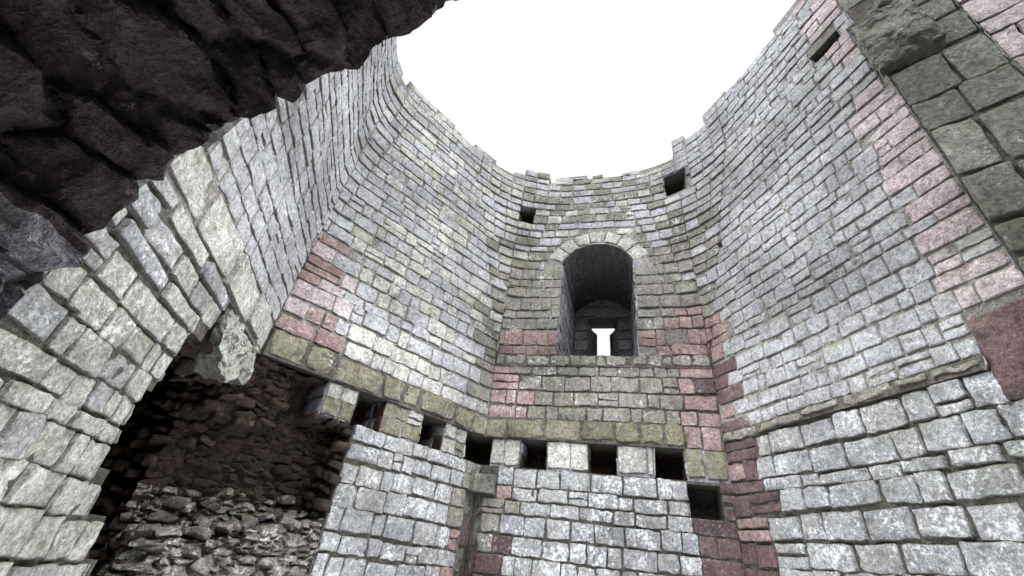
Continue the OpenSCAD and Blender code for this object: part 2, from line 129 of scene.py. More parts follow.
def stone_material(name, tones, stain, lichen, moss, crust=0.5, bump=0.5, damp=0.5, under=0.75):
    """Weathered stone: a tone for each stone, stains, grain, lichen, moss on top and painted shade below."""
    material = bpy.data.materials.new(name)
    material.use_nodes = True
    tree = material.node_tree
    tree.nodes.clear()
    place = add(tree, "ShaderNodeTexCoord", out="Object")
    pattern = {
        label: add(tree, NOISE, named={"Vector": place, **dict(zip(PATTERN_INPUTS, values))})
        for label, values in PATTERNS.items()
    }
    own_tone = add(tree, "ShaderNodeAttribute", out="Fac", attribute_name="tone")
    colour = add(tree, "ShaderNodeValToRGB", own_tone)
    stops = colour.node.color_ramp.elements
    while len(stops) < len(tones):
        stops.new(0.5)
    for i, (stop, tone) in enumerate(zip(stops, tones)):
        stop.position, stop.color = i / (len(tones) - 1), linear(tone)

    # Lichen lies in ragged patches, moss on damp places that face up, and painted shade darkens what faces
    # down
    ragged = add(tree, MATH, pattern["patches"], pattern["ragged"], operation="MULTIPLY")
    low = 0.37 - 0.15 * crust
    facing = add(tree, "ShaderNodeSeparateXYZ", add(tree, "ShaderNodeNewGeometry", out="Normal"), out="Z")
    wet = add(tree, MATH, pattern["damp"], 2.0, -1.0 + 0.3 * damp, operation="MULTIPLY_ADD")
    mossy = add(tree, MATH, facing, 0.75, wet, operation="MULTIPLY_ADD", use_clamp=True)
    below = add(tree, MATH, facing, -1.3, -0.12, operation="MULTIPLY_ADD", use_clamp=True)
    # Layers from the bottom up: how each blends, how strongly, and its colour
    for blend, share, layer in (
        ("MIX", add(tree, STRETCH, pattern["blotch"], 0.46, 0.72, 0.0, 0.7), linear(stain)),
        ("MULTIPLY", 1.0, add(tree, STRETCH, pattern["weather"], 0.36, 0.60, 0.62, 1.0)),
        ("OVERLAY", 0.7, add(tree, STRETCH, pattern["mottle"], 0.32, 0.68, 0.18, 0.82)),
        ("OVERLAY", 0.65, add(tree, STRETCH, pattern["grain"], 0.32, 0.68, 0.2, 0.8)),
        ("MIX", add(tree, STRETCH, ragged, low, low + 0.07, 0.0, 0.75), linear(lichen)),
        ("MIX", add(tree, STRETCH, pattern["pits"], 0.31, 0.39, 0.9, 0.0), linear(DIRT_IN_PITS)),
        ("MIX", add(tree, STRETCH, mossy, 0.30, 0.95, 0.0, 0.75), linear(moss)),
        # Painted shade on faces that look down, under the stones' overhanging edges
        ("MIX", add(tree, STRETCH, below, 0.0, 0.6, 0.0, under), linear(PAINTED_SHADE_BELOW)),
    ):
        inputs = {0: share, 6: colour, 7: layer}
        colour = add(tree, "ShaderNodeMix", named=inputs, out=2, data_type="RGBA", blend_type=blend)

    rough = add(tree, MATH, pattern["mottle"], 2.5, pattern["grain"], operation="MULTIPLY_ADD")
    height = add(tree, MATH, pattern["grit"], 0.35, rough, operation="MULTIPLY_ADD")
    relief = add(tree, "ShaderNodeBump", named={"Strength": bump, "Distance": 0.02, "Height": height})
    surface = add(
        tree, "ShaderNodeBsdfPrincipled",
        named={"Base Color": colour, "Roughness": 0.92, "Specular IOR Level": 0.2, "Normal": relief},
    )
    add(tree, "ShaderNodeOutputMaterial", surface)
    return material


# Of each kind: the record's slot, the material's name, its tones, the colours of its stain, lichen
# and moss, and how much lichen, relief, damp and painted shade below it has
LOOKS = {
    # Grey limestone, split and roughly squared, pale with lichen crust
    "limestone": (
        "limestone", "split_limestone",
        ["#8f9296", "#999ca0", "#929495", "#9ea0a4", "#949493", "#9fa1a4", "#898b8d"],
        "#77787a", "#d9dce1", "#6f7358", 0.65, 0.8),
    # The same stone higher up, where rain keeps it an even lilac grey
    "pale": (
        "limestone", "washed_limestone", ["#94969b", "#9b9da2", "#96979b", "#9fa1a5", "#97979a"],
        "#7f8084", "#c3c5ca", "#6f7358", 0.3, 0.6, 0.6),
    # Greenish limestone of the wall beside the doorway
    "green": (
        "limestone", "green_limestone", ["#a5a7a1", "#afb0ac", "#9fa19c", "#afadab", "#a9aaa4"],
        "#7b7d6e", "#d2d4d3", "#6c7353", 0.6, 0.8),
    # Limestone of the window wall, stained brown and green by water from above
    "stained": (
        "limestone", "stained_limestone", ["#7d7b76", "#84827d", "#76756e", "#827e7a", "#8a8884"],
        "#5f5d55", "#c9c9c6", "#6a6f56", 0.45, 0.8, 0.8),
    # Limestone inside the window recess, dark with soot and shade
    "sooty": (
        "limestone", "sooty_limestone", ["#8e8c97", "#9896a1", "#82808a", "#938f98"],
        "#65636c", "#abaab2", "#4a4d3c", 0.2, 0.8, 0.2),
    # Greenish grey sandstone of the lintels and string courses
    "sandstone": (
        "grey_green_sandstone", "mossy_sandstone", ["#777366", "#807c6e", "#6d6b5c", "#858173", "#726f60"],
        "#4e4d3c", "#bab8ac", "#5c6342", 0.4, 0.8, 0.9),
    # Olive stone of the squared jamb, dark where water runs down it
    "olive": (
        "grey_green_sandstone", "olive_sandstone", ["#72746e", "#7f817a", "#666962", "#898982"],
        "#4c4f46", "#adaea6", "#56603f", 0.35, 0.8, 0.8),
    # Dark red sandstone of the corners of the room
    "red": (
        "red_sandstone", "red_sandstone", ["#655355", "#5a494b", "#6d5c5e", "#524548", "#736366"],
        "#453b3d", "#a9a3a4", "#6b6a55", 0.3, 0.8),
    # The same stone higher up, bleached brownish pink
    "rose": (
        "red_sandstone", "weathered_red_sandstone", ["#8f7c79", "#9a8683", "#83706e", "#a08d88"],
        "#736261", "#c4bcb9", "#70705a", 0.45, 0.8),
    # Lilac pink sandstone beside the gap
    "pink": (
        "red_sandstone", "bleached_red_sandstone", ["#aea3a6", "#b6acaf", "#a3989b", "#bab1b3"],
        "#8f8286", "#d3cdd1", "#70705a", 0.45, 0.8),
    # Core of the walls: earthy rubble in old lime mortar; near black, which in the breach is also painted
    # shade
    "rubble": (
        "rubble_core", "rubble_core", ["#3c2f2a", "#483a35", "#312623", "#53453f", "#40332e"],
        "#221b18", "#8d827a", "#46462f", 0.25, 1.0, 0.0, 0.3),
    # Paler core, weathered grey by rain; in the breach's lower part this grey is painted light
    "grey_rubble": (
        "rubble_core", "weathered_core", ["#918c88", "#a09b96", "#66615b", "#b0aca7", "#78736e"],
        "#3e3a34", "#dedbd7", "#5c5e45", 0.7, 1.0, 0.1, 0.85),
    # The same rubble on the underside of the doorway's arch, made near black as painted shade, for the
    # underside is in shade
    "soffit": (
        "rubble_core", "blackened_rubble", ["#453c40", "#51474b", "#373034", "#5d5256"],
        "#262023", "#807872", "#35362c", 0.22, 1.0, 0.0, 0.0),
    # That underside near the springing, made grey as painted light where it is lit
    "grey_soffit": (
        "rubble_core", "bleached_rubble", ["#89868d", "#9c99a0", "#69666c", "#a9a6ad"],
        "#3a373b", "#bcbac1", "#4f5044", 0.45, 1.0, 0.0, 0.0),
    # Lime mortar between the stones, washed clean high up
    "mortar": (
        "limestone", "lime_mortar", ["#8b8985", "#95938f"], "#696661", "#bdbdba", "#5c6044", 0.4, 1.0, 0.4),
    # The same mortar lower down, dark with damp and dirt
    "damp_mortar": (
        "limestone", "damp_mortar", ["#605d58", "#6b6863"], "#3b3834", "#9b9995", "#4f5239", 0.25, 1.0, 0.5),
}
MATERIALS = {kind: stone_material(*look) for kind, (_, *look) in LOOKS.items()}

# What the CAD's own faces are made of, by how their names start; all others are damp mortar
BARE = {
    "breach": "rubble", "door_vault": "soffit", "joist_piers": "sooty", "joist_backing": "rubble",
    "plinth": "sandstone", "loop": "stained", "window_arch": "green",
    "upper": "mortar", "window_side": "mortar", "window_vault": "mortar",
}
for node_name, node_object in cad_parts.items():
    kind = next((kind for start, kind in BARE.items() if node_name.startswith(start)), "damp_mortar")
    node_object.data.materials.clear()
    node_object.data.materials.append(MATERIALS[kind])

# Places on the walls

# One tree of surfaces to ask whether the CAD has wall at a place
corners, triangles = [], []
for node_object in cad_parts.values():
    start = len(corners)
    corners.extend(v.co.copy() for v in node_object.data.vertices)
    triangles.extend([start + i for i in polygon.vertices] for polygon in node_object.data.polygons)
CAD_SURFACE = BVHTree.FromPolygons(corners, triangles)
UP = Vector((0, 0, 1))
TOP = cad_box[1][2]


class Face:
    """A flat face of a wall: u to the right and v up as its viewer sees them."""

    def __init__(self, origin, normal, up=UP, avoid=None):
        self.origin, self.normal = Vector(origin), Vector(normal).normalized()
        self.right = Vector(up).cross(self.normal).normalized()
        self.up = self.normal.cross(self.right)
        self.turn = Matrix((self.right, -self.normal, self.up)).transposed()
        self.avoid = avoid

    def at(self, u, v, out=0.0):
        return self.origin + self.right * u + self.up * v + self.normal * out

    def there(self, u, v, slack=0.012, reach=0.2, head_room=0.07):
        """Whether the CAD has wall on this face at u and v, or as near to it as the slack."""
        if (self.avoid and self.avoid(u, v)) or self.at(u, v).z > TOP - head_room:
            return False
        hit = CAD_SURFACE.ray_cast(self.at(u, v, reach), -self.normal, 2 * reach)
        return hit[0] is not None and abs(hit[3] - reach) < slack


def wall_axes(wall):
    """A wall's outward and rightward directions as seen from the room."""
    a = math.radians(TURNS[wall])
    return Vector((math.sin(a), math.cos(a), 0)), Vector((math.cos(a), -math.sin(a), 0))


def from_wall(wall, x, y, z):
    """A point given in a wall's own frame: x to the right from the room, y outwards, z up."""
    away, right = wall_axes(wall)
    return right * x + away * y + UP * z


def to_wall(wall, place):
    """A point in a wall's own frame, the other way round."""
    away, right = wall_axes(wall)
    return place.dot(right), place.dot(away), place.z


def room_face(wall, out=0.0, avoid=None):
    away, _ = wall_axes(wall)
    return Face(away * (FACE - out), -away, avoid=avoid)


def outer_face(wall, out=0.0, avoid=None):
    away, _ = wall_axes(wall)
    return Face(away * (OUTER + out), away, avoid=avoid)


def runs(face, v0, v1, u0, u1, step=0.02):
    """The stretches of a course that have wall behind their whole height."""
    rows = [v0 + (v1 - v0) * share for share in (0.2, 0.5, 0.8)]
    found, start = [], None
    count = int(round((u1 - u0) / step))
    for i in range(count + 1):
        u = u0 + i * step
        wall = i < count and all(face.there(u + step / 2, v) for v in rows)
        if wall and start is None:
            start = u
        if not wall and start is not None:
            found.append((start, u))
            start = None
    return found


# Ways to lay stones: their mean length, how far they stand out of the mortar, and the joint
LARGE = (0.46, 0.022, 0.012)
BROAD = (0.30, 0.022, 0.012)
ROUGH = (0.25, 0.018, 0.009)
SQUARE = (0.18, 0.014, 0.008)
SMALL = (0.24, 0.012, 0.006)
FLUSH = (0.21, 0.009, 0.004)
LONG = (0.42, 0.018, 0.020)
STONE_DEPTH, ABOVE_FLOOR = 0.16, 0.03
# How far beds wave and stray, and how much stones turn in their wall, lean and tip, in radians
BED_WAVE, BED_STRAY, TURN, LEAN, TIP = 0.04, 0.008, 0.014, 0.025, 0.02
# End stones at a corner of the room are long and short by turns, bonded with the next wall's
LONG_END, SHORT_END = 0.44, 0.24
# The share of stones that are split into two thin ones, and the least height for that
SPLIT, SPLIT_HEIGHT = 0.08, 0.15


def course_lines(foot, height, head):
    """Bed lines of a band of courses; equal bands have the same lines on every wall."""
    count, rng = max(1, round((head - foot) / height)), random.Random(foot)
    stray = (rng.uniform(-0.22, 0.22) if 0 < i < count else 0 for i in range(count + 1))
    return [foot + (head - foot) * (i + by) / count for i, by in enumerate(stray)]


def round_radius(top, z):
    """Radius of a corner's stones: it grows evenly, just ahead of the CAD's bands."""
    band = (ROUND_TOP_Z - ROUND_Z) / ROUND_BANDS
    return top * min(1.0, max(0.0, (z + band - ROUND_Z) / (ROUND_TOP_Z - ROUND_Z)))


class Masonry:
    """Stones gathered for the pieces of one wall, by what they are made of."""

    def __init__(self, seed):
        self.rng = random.Random(seed)
        self.stones = {}
        self.long = False

    def put(self, face, kind, u0, u1, v0, v1, way):
        """A stone between two lines across and two lines up; beds and joints wander a little."""
        rng = self.rng
        _, proud, joint = way
        wave = BED_WAVE * noise_at(face.at((u0 + u1) / 2, 0) * 0.9 + UP * (v0 * 1.7))
        v0 = v0 + rng.uniform(-BED_STRAY, BED_STRAY) + wave
        v1 = v1 + rng.uniform(-BED_STRAY, BED_STRAY) + wave
        v0 = max(v0, v0 + ABOVE_FLOOR - face.at(0, v0).z)
        wide, high = (joint * min(3.0, 0.4 + rng.expovariate(1.4)) for _ in range(2))
        out = proud * rng.uniform(0.5, 1.5) - STONE_DEPTH / 2
        spin = Matrix.Rotation(rng.gauss(0, TURN), 3, "Y") @ Matrix.Rotation(rng.gauss(0, LEAN), 3, "Z")
        turn = (face.turn @ spin @ Matrix.Rotation(rng.gauss(0, TIP), 3, "X")).to_euler()
        size = (u1 - u0 - wide, STONE_DEPTH, v1 - v0 - high)
        place = face.at((u0 + u1) / 2, (v0 + v1) / 2, out)
        self.stones.setdefault(kind, []).append((place, turn, size, rng.random()))

    def rock(self, kind, place, size, tumble=0.2):
        """A loose or half-buried flat stone, lying more or less level."""
        rng = self.rng
        turn = (rng.gauss(0, tumble), rng.gauss(0, tumble), rng.uniform(-3.2, 3.2))
        sizes = (size * rng.uniform(0.9, 1.7), size * rng.uniform(0.7, 1.2), size * rng.uniform(0.3, 0.65))
        self.stones.setdefault(kind, []).append((place, turn, sizes, rng.random()))

    def round_corner(self, wall, v0, v1, way, kind_at, slack=0.06):
        """One course of the wall's halves of its rounded corners, with CAD behind it as near as the slack."""
        away, right = wall_axes(wall)
        middle, upper = (v0 + v1) / 2, v0 + (v1 - v0) * 0.8
        band = math.ceil((middle - ROUND_Z) / (ROUND_TOP_Z - ROUND_Z) * ROUND_BANDS)
        for side, top in zip((-1, 1), ROUNDS[wall]):
            radius = round_radius(top, middle)
            if not radius:
                continue
            count = max(1, round(radius * math.pi / 6 / way[0]))
            half = math.pi / 12 / count
            radii = (top * min(band, ROUND_BANDS) / ROUND_BANDS, radius)
            centres = [right * side * (HALF - r * SLANT) + away * (FACE - r) for r in radii]
            for i in range(count):
                a = (2 * i + 1) * half
                outwards = away * math.cos(a) + right * side * math.sin(a)
                behind, front = (
                    Face(centre + outwards * (r - ROUND_LIP), -outwards) for r, centre in zip(radii, centres)
                )
                if band < 1 or (behind.there(0, middle, slack) and behind.there(0, upper, slack)):
                    kind = kind_at(side * HALF, middle, self.rng)
                    self.put(front, kind, -half * radius, half * radius, v0, v1, way)

    def course(self, face, v0, v1, u0, u1, way, kind_at, corner=None, split=SPLIT):
        """One course; where it reaches a corner of the room, its end stone is a bonded one."""
        rng, length = self.rng, way[0]
        self.long = not self.long
        near, far = (LONG_END, SHORT_END) if self.long else (SHORT_END, LONG_END)
        for a, b in runs(face, v0, v1, u0, u1):
            if b - a < 0.07:
                continue
            cuts, stop = [a], b
            if corner and a < -corner + 0.05 and near < b - a - 0.1:
                cuts.append(a + near * rng.uniform(0.9, 1.1))
            if corner and b > corner - 0.05 and far < b - cuts[-1] - 0.1:
                stop = b - far * rng.uniform(0.9, 1.1)
            while stop - cuts[-1] > length * 1.6:
                cuts.append(cuts[-1] + length * rng.uniform(0.5, 1.55))
            if stop - cuts[-1] > length * 1.2:
                cuts.append(cuts[-1] + (stop - cuts[-1]) * rng.uniform(0.4, 0.6))
            cuts += [cut for cut in (stop, b) if cut > cuts[-1] + 0.02]
            for left, right in zip(cuts, cuts[1:]):
                kind = kind_at((left + right) / 2, (v0 + v1) / 2, rng)
                middle = v0 + (v1 - v0) * rng.uniform(0.38, 0.62)
                levels = (v0, middle, v1) if rng.random() < split and v1 - v0 > SPLIT_HEIGHT else (v0, v1)
                for low, high in zip(levels, levels[1:]):
                    self.put(face, kind, left, right, low, high, way)

    def wall(self, face, bands, u0, u1, kind_at, corner=None, split=SPLIT, rounded=None):
        """Courses in bands of (foot, height of a course, way), each band up to the foot of the next."""
        radii = ROUNDS[rounded] if rounded else (0, 0)
        for (foot, height, way), (head, *_) in zip(bands, bands[1:]):
            lines = course_lines(foot, height, head)
            for low, high in zip(lines, lines[1:]):
                left, right = (round_radius(radius, (low + high) / 2) * SLANT for radius in radii)
                self.course(face, low, high, u0 + left, u1 - right, way, kind_at, corner, split)
                if rounded:
                    self.round_corner(rounded, low, high, way, kind_at)

    def scatter(self, kind_at, rays, spacing, sizes, keep, buried=0.0):
        """Half-buried stones where rays meet the CAD, none nearer to another than the spacing."""
        taken = {}
        for start, way in rays:
            place, normal, _, _ = CAD_SURFACE.ray_cast(start, way, 20)
            if place is None or normal.dot(way) > 0 or not keep(place, normal):
                continue
            x, y, z = (math.floor(c / spacing) for c in place)
            beside = (-1, 0, 1)
            near = [taken.get((x + i, y + j, z + k)) for i in beside for j in beside for k in beside]
            if any(other and (place - other).length < spacing for other in near):
                continue
            taken[x, y, z] = place
            self.rock(kind_at(place, self.rng), place - normal * buried, self.rng.uniform(*sizes))


# Geometry Nodes trees


def tree_with(name, *numbers):
    """A Geometry Nodes tree with a mesh, named numbers and a material going in and a mesh coming out."""
    tree = bpy.data.node_groups.new(name, "GeometryNodeTree")
    given = [("Geometry", "Geometry"), *((number, "Float") for number in numbers), ("Material", "Material")]
    for label, kind in given:
        tree.interface.new_socket(label, in_out="INPUT", socket_type="NodeSocket" + kind)
    tree.interface.new_socket("Geometry", in_out="OUTPUT", socket_type="NodeSocketGeometry")
    return tree, add(tree, "NodeGroupInput").node.outputs


def shifted(tree, geometry, amount, scale, seed=0.0, detail=2.0):
    """Moves a mesh's points every way by noise."""
    place = add(tree, "GeometryNodeInputPosition")
    inputs = {"Vector": place, "W": seed, "Scale": scale, "Detail": detail}
    field = add(tree, NOISE, named=inputs, out="Color", noise_dimensions="4D")
    every_way = add(tree, VECTOR, field, (0.5, 0.5, 0.5), operation="SUBTRACT")
    offset = add(tree, VECTOR, every_way, named={"Scale": amount}, operation="SCALE")
    return add(tree, "GeometryNodeSetPosition", named={"Geometry": geometry, "Offset": offset})


def finished(tree, geometry, material):
    """Ends a tree with plain faces of the material."""
    geometry = add(tree, "GeometryNodeRealizeInstances", geometry)
    inputs = {"Geometry": geometry, "Material": material}
    add(tree, "NodeGroupOutput", add(tree, "GeometryNodeSetMaterial", named=inputs))
    return tree


def stone_tree(columns, rows, deep=2):
    """Geometry Nodes: a block with worn arrises on each point, then warped and chipped by noise."""
    tree, given = tree_with("coursed_stones", "Warp", "Warp Scale", "Chip", "Chip Scale", "Squareness")
    counts = {"Size": (1, 1, 1), "Vertices X": columns, "Vertices Y": deep, "Vertices Z": rows}
    block = add(tree, "GeometryNodeMeshCube", named=counts)
    place = add(tree, "GeometryNodeInputPosition")
    if deep == 2:
        # The back of a stone is inside the wall
        depth = add(tree, "ShaderNodeSeparateXYZ", place, out="Y")
        behind = add(tree, "FunctionNodeCompare", depth, 0.4, operation="GREATER_THAN")
        block = add(tree, "GeometryNodeDeleteGeometry", block, behind, domain="FACE")
    # The grid's lines gather towards the arrises: p * (1.5 - 0.5 * (2p)^2)
    double = add(tree, VECTOR, place, named={"Scale": 2.0}, operation="SCALE")
    square = add(tree, VECTOR, double, double, operation="MULTIPLY")
    pull = add(tree, VECTOR, square, (-0.5,) * 3, (1.5,) * 3, operation="MULTIPLY_ADD")
    place = add(tree, VECTOR, place, pull, operation="MULTIPLY")
    # Superellipsoid: p * max|2p| / (sum |2p|^n)^(1/n) rounds the arrises
    double = add(tree, VECTOR, place, named={"Scale": 2.0}, operation="SCALE")
    parts = add(tree, "ShaderNodeSeparateXYZ", add(tree, VECTOR, double, operation="ABSOLUTE")).node.outputs
    power = given["Squareness"]
    x, y, z = (add(tree, MATH, part, power, operation="POWER") for part in parts)
    total = add(tree, MATH, add(tree, MATH, x, y, operation="ADD"), z, operation="ADD")
    root = add(tree, MATH, total, add(tree, MATH, 1.0, power, operation="DIVIDE"), operation="POWER")
    larger = add(tree, MATH, parts[0], parts[1], operation="MAXIMUM")
    largest = add(tree, MATH, larger, parts[2], operation="MAXIMUM")
    share = add(tree, MATH, largest, root, operation="DIVIDE")
    rounded = add(tree, VECTOR, place, named={"Scale": share}, operation="SCALE")
    block = add(tree, "GeometryNodeSetPosition", named={"Geometry": block, "Position": rounded})
    block = add(tree, "GeometryNodeSetShadeSmooth", block)

    turn, size, tone = (
        add(tree, "GeometryNodeInputNamedAttribute", name, data_type=kind)
        for name, kind in (("turn", "FLOAT_VECTOR"), ("size", "FLOAT_VECTOR"), ("tone", "FLOAT"))
    )
    inputs = {"Points": given["Geometry"], "Instance": block, "Rotation": turn, "Scale": size}
    stones = add(tree, "GeometryNodeInstanceOnPoints", named=inputs)
    stones = add(tree, "GeometryNodeRealizeInstances", stones)
    stones = shifted(tree, stones, given["Warp"], given["Warp Scale"])
    seed = add(tree, MATH, tone, 53.0, operation="MULTIPLY")
    stones = shifted(tree, stones, given["Chip"], given["Chip Scale"], seed)
    return finished(tree, stones, given["Material"])


def crag_tree():
    """Geometry Nodes: a surface broken into lumps, flat stones with hollow joints, and chips."""
    numbers = ("Lump", "Lump Scale", "Block", "Block Scale", "Chip", "Chip Scale")
    tree, given = tree_with("broken_surface", *numbers)
    place = add(tree, "GeometryNodeInputPosition")
    swell = add(tree, NOISE, named={"Vector": place, "Scale": given["Lump Scale"], "Detail": 3.0})
    # Flat stones, from cells that are wider than high, in a space bent by noise
    wander = add(tree, NOISE, named={"Vector": place, "Scale": 4.0}, out="Color")
    wander = add(tree, VECTOR, wander, named={"Scale": 0.12}, operation="SCALE")
    flat = add(tree, VECTOR, place, (0.8, 0.8, 2.2), operation="MULTIPLY")
    bent = add(tree, VECTOR, flat, wander, operation="ADD")
    inputs = {"Vector": bent, "Scale": given["Block Scale"]}
    cell = add(tree, "ShaderNodeTexVoronoi", named=inputs, out="Color")
    edge = add(tree, "ShaderNodeTexVoronoi", named=inputs, out="Distance", feature="DISTANCE_TO_EDGE")
    stand = add(tree, MATH, add(tree, "ShaderNodeSeparateXYZ", cell), 0.35, operation="ADD")
    joint = add(tree, MATH, add(tree, MATH, edge, 7.0, operation="MULTIPLY"), 1.0, operation="MINIMUM")
    height = add(tree, MATH, joint, stand, operation="MULTIPLY")
    height = add(tree, MATH, given["Block"], height, operation="MULTIPLY")
    swell = add(tree, MATH, swell, 2.6, -0.95, operation="MULTIPLY_ADD")
    swell = add(tree, MATH, swell, 0.08, operation="MAXIMUM")
    lumps = add(tree, MATH, given["Lump"], swell, operation="MULTIPLY")
    out = add(tree, MATH, lumps, height, operation="ADD")
    offset = add(tree, VECTOR, add(tree, "GeometryNodeInputNormal"), named={"Scale": out}, operation="SCALE")
    mesh = add(tree, "GeometryNodeSetPosition", named={"Geometry": given["Geometry"], "Offset": offset})
    mesh = shifted(tree, mesh, given["Chip"], given["Chip Scale"], seed=8.0, detail=4.0)
    return finished(tree, mesh, given["Material"])


LARGE_BLOCK = stone_tree(9, 7)
SMALL_BLOCK = stone_tree(7, 5)
PLAIN_BLOCK = stone_tree(5, 4)
ROCK = stone_tree(4, 4, 4)
CRAG = crag_tree()


def grown(name, kind, layout, tree, values, voxel=None):
    """A piece from what a Geometry Nodes tree makes of a mesh, as a plain object at the origin."""
    holder = bpy.data.objects.new("layout", layout)
    bpy.context.collection.objects.link(holder)
    if voxel:
        even = holder.modifiers.new("even_mesh", "REMESH")
        even.mode, even.voxel_size = "VOXEL", voxel
    modifier = holder.modifiers.new("growth", "NODES")
    modifier.node_group = tree
    values = {**values, "Material": MATERIALS[kind]}
    for item in tree.interface.items_tree:
        if item.item_type == "SOCKET" and item.in_out == "INPUT" and item.name in values:
            modifier[item.identifier] = values[item.name]
    graph = bpy.context.evaluated_depsgraph_get()
    mesh = bpy.data.meshes.new_from_object(holder.evaluated_get(graph), depsgraph=graph)
    bpy.data.objects.remove(holder)
    piece = bpy.data.objects.new(name, mesh)
    bpy.context.collection.objects.link(piece)
    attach(piece, "root")
    return piece


def layout_mesh(stones):
    """A point for each stone, with its turn, size and tone."""
    mesh = bpy.data.meshes.new("layout")
    mesh.from_pydata([stone[0] for stone in stones], [], [])
    for name, index in (("turn", 1), ("size", 2)):
        values = np.array([tuple(stone[index]) for stone in stones], np.float32).ravel()
        mesh.attributes.new(name, "FLOAT_VECTOR", "POINT").data.foreach_set("vector", values)
    tones = np.array([stone[3] for stone in stones], np.float32)
    mesh.attributes.new("tone", "FLOAT", "POINT").data.foreach_set("value", tones)
    return mesh


def lay(name, masonry, tree, chip=0.06, chip_scale=11.0, square=16.0):
    """Makes a piece of each kind of stone that was gathered."""
    values = {"Warp": 0.025, "Warp Scale": 2.5, "Chip": chip, "Chip Scale": chip_scale, "Squareness": square}
    for kind, stones in masonry.stones.items():
        grown(f"{name}_{kind}", kind, layout_mesh(stones), tree, values)


# Relief of the rubble: amount and scale of its lumps, stones and chips
LINING = ((0.11, 2.2), (0.06, 7.0), (0.05, 18.0))
SOCKET_LINING = ((0.03, 4.0), (0.03, 9.0), (0.03, 20.0))


def crag(name, kind, mesh, relief, voxel=None):
    """A piece of broken masonry grown from a sheet or a solid."""
    values = {}
    for label, (amount, scale) in zip(("Lump", "Block", "Chip"), relief):
        values[label], values[label + " Scale"] = amount, scale
    return grown(name, kind, mesh, CRAG, values, voxel)


def weathered(node, kind, voxel, *chip):
    """A copy of a CAD node with an even mesh and chipped faces, that stands for it."""
    relief = ((0.0, 1.0), (0.0, 1.0), chip)
    piece = crag("weathered_" + node, kind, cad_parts[node].data.copy(), relief, voxel)
    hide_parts(node)


# Inner faces of the walls

# The doorway's pointed arch in its own wall: side, centre, radius and angle of both arcs
DOOR_ARCS = []
for side, span in ((1, DOOR_LEFT + DOOR_POINT), (-1, DOOR_RIGHT - DOOR_POINT)):
    radius = (span**2 + DOOR_RISE**2) / (2 * span)
    DOOR_ARCS.append((side, -DOOR_POINT + side * (span - radius), radius, math.asin(DOOR_RISE / radius)))


def in_door_ring(u, v):
    _, centre, radius, _ = DOOR_ARCS[0 if u > -DOOR_POINT else 1]
    return v > DOOR_SPRING_Z - 0.02 and math.hypot(u - centre, v - DOOR_SPRING_Z) < radius + DOOR_RING


def in_window_ring(u, v):
    return v > SPRING_Z - 0.12 and math.hypot(u, v - RECESS_AXIS_Z) < RECESS_R + WINDOW_RING


def in_fragment(u, v):
    return u > 0.5 and v < LINTEL_Z


# What the stones of each wall are, by their place across from its middle and up, in metres


def pick(rng, **shares):
    """One of the kinds named, by their shares."""
    return rng.choices(list(shares), list(shares.values()))[0]


def only(kind):
    """The same kind at every place."""
    return lambda u, v, rng: kind


def back_kind(u, v, rng):
    side = abs(u)
    if u > 1.08 and v < LINTEL_Z:
        return "sandstone" if v > SOCKET_Z else pick(rng, red=80, rose=20)
    if (u > 1.05 and v < 5.0) or (u < -0.95 and 3.2 < v < 4.7):
        return pick(rng, rose=77, red=8, stained=15)
    if u < -1.0 and v < 2.45:
        return pick(rng, red=45, rose=20, stained=35)
    if 0.5 < side < 1.1 and SILL_Z < v < 4.7:
        return pick(rng, rose=60, stained=40)
    if v < SOCKET_Z:
        return "limestone"
    if v < LINTEL_Z:
        return pick(rng, green=70, sandstone=30)
    # Stained below, washed paler in patches towards the head
    washed = v - 5.7 + 1.2 * noise_at(Vector((u * 1.1, v * 1.4, 3.0))) + rng.uniform(-0.3, 0.3)
    return pick(rng, pale=45, green=20, stained=35) if washed > 0.2 else "stained"


def left_kind(u, v, rng):
    if (u < -0.9 and 3.25 < v < 4.15) or (u < -1.15 and 4.15 < v < 4.5):
        return pick(rng, rose=70, pink=30)
    if SOCKET_Z < v < LINTEL_Z:
        return pick(rng, sandstone=45, green=55)
    if u > 1.2 and v < 4.4:
        return pick(rng, rose=40, olive=30, stained=30) if v < 2.6 else pick(rng, rose=40, stained=60)
    if u > 0.95 and 4.4 < v < 6.2:
        return pick(rng, stained=45, green=30, pale=25)
    return "limestone" if v < 3.3 else pick(rng, pale=60, green=40)


def right_kind(u, v, rng):
    if u < (-1.06 if v > 2.1 else -1.15) and v < 3.05:
        return pick(rng, red=85, rose=15)
    if u < -1.22 and 3.15 < v < 4.7:
        return pick(rng, rose=75, red=25)
    if u < -1.2 and 4.7 < v < 6.4:
        return pick(rng, stained=55, pale=45)
    if u > 1.15 and v > 3.4:
        return pick(rng, pink=75, pale=25)
    return "limestone" if v < 3.1 else "pale"


def front_left_kind(u, v, rng):
    if 2.5 < v < LINTEL_Z:
        return pick(rng, green=60, limestone=40)
    return "pale" if v > 3.2 else pick(rng, green=84, limestone=16)


def plain_kind(u, v, rng):
    return pick(rng, limestone=65, green=35)


def chase_kind(u, v, rng):
    return pick(rng, red=60, olive=40)


def socket_kind(u, v, rng):
    return rng.choice(["sooty", "rubble"])


def outer_kind(u, v, rng):
    if abs(u) > OUTER_HALF - 0.45:
        return pick(rng, sandstone=4, stained=4, limestone=2)
    return pick(rng, limestone=4, green=4, stained=2)


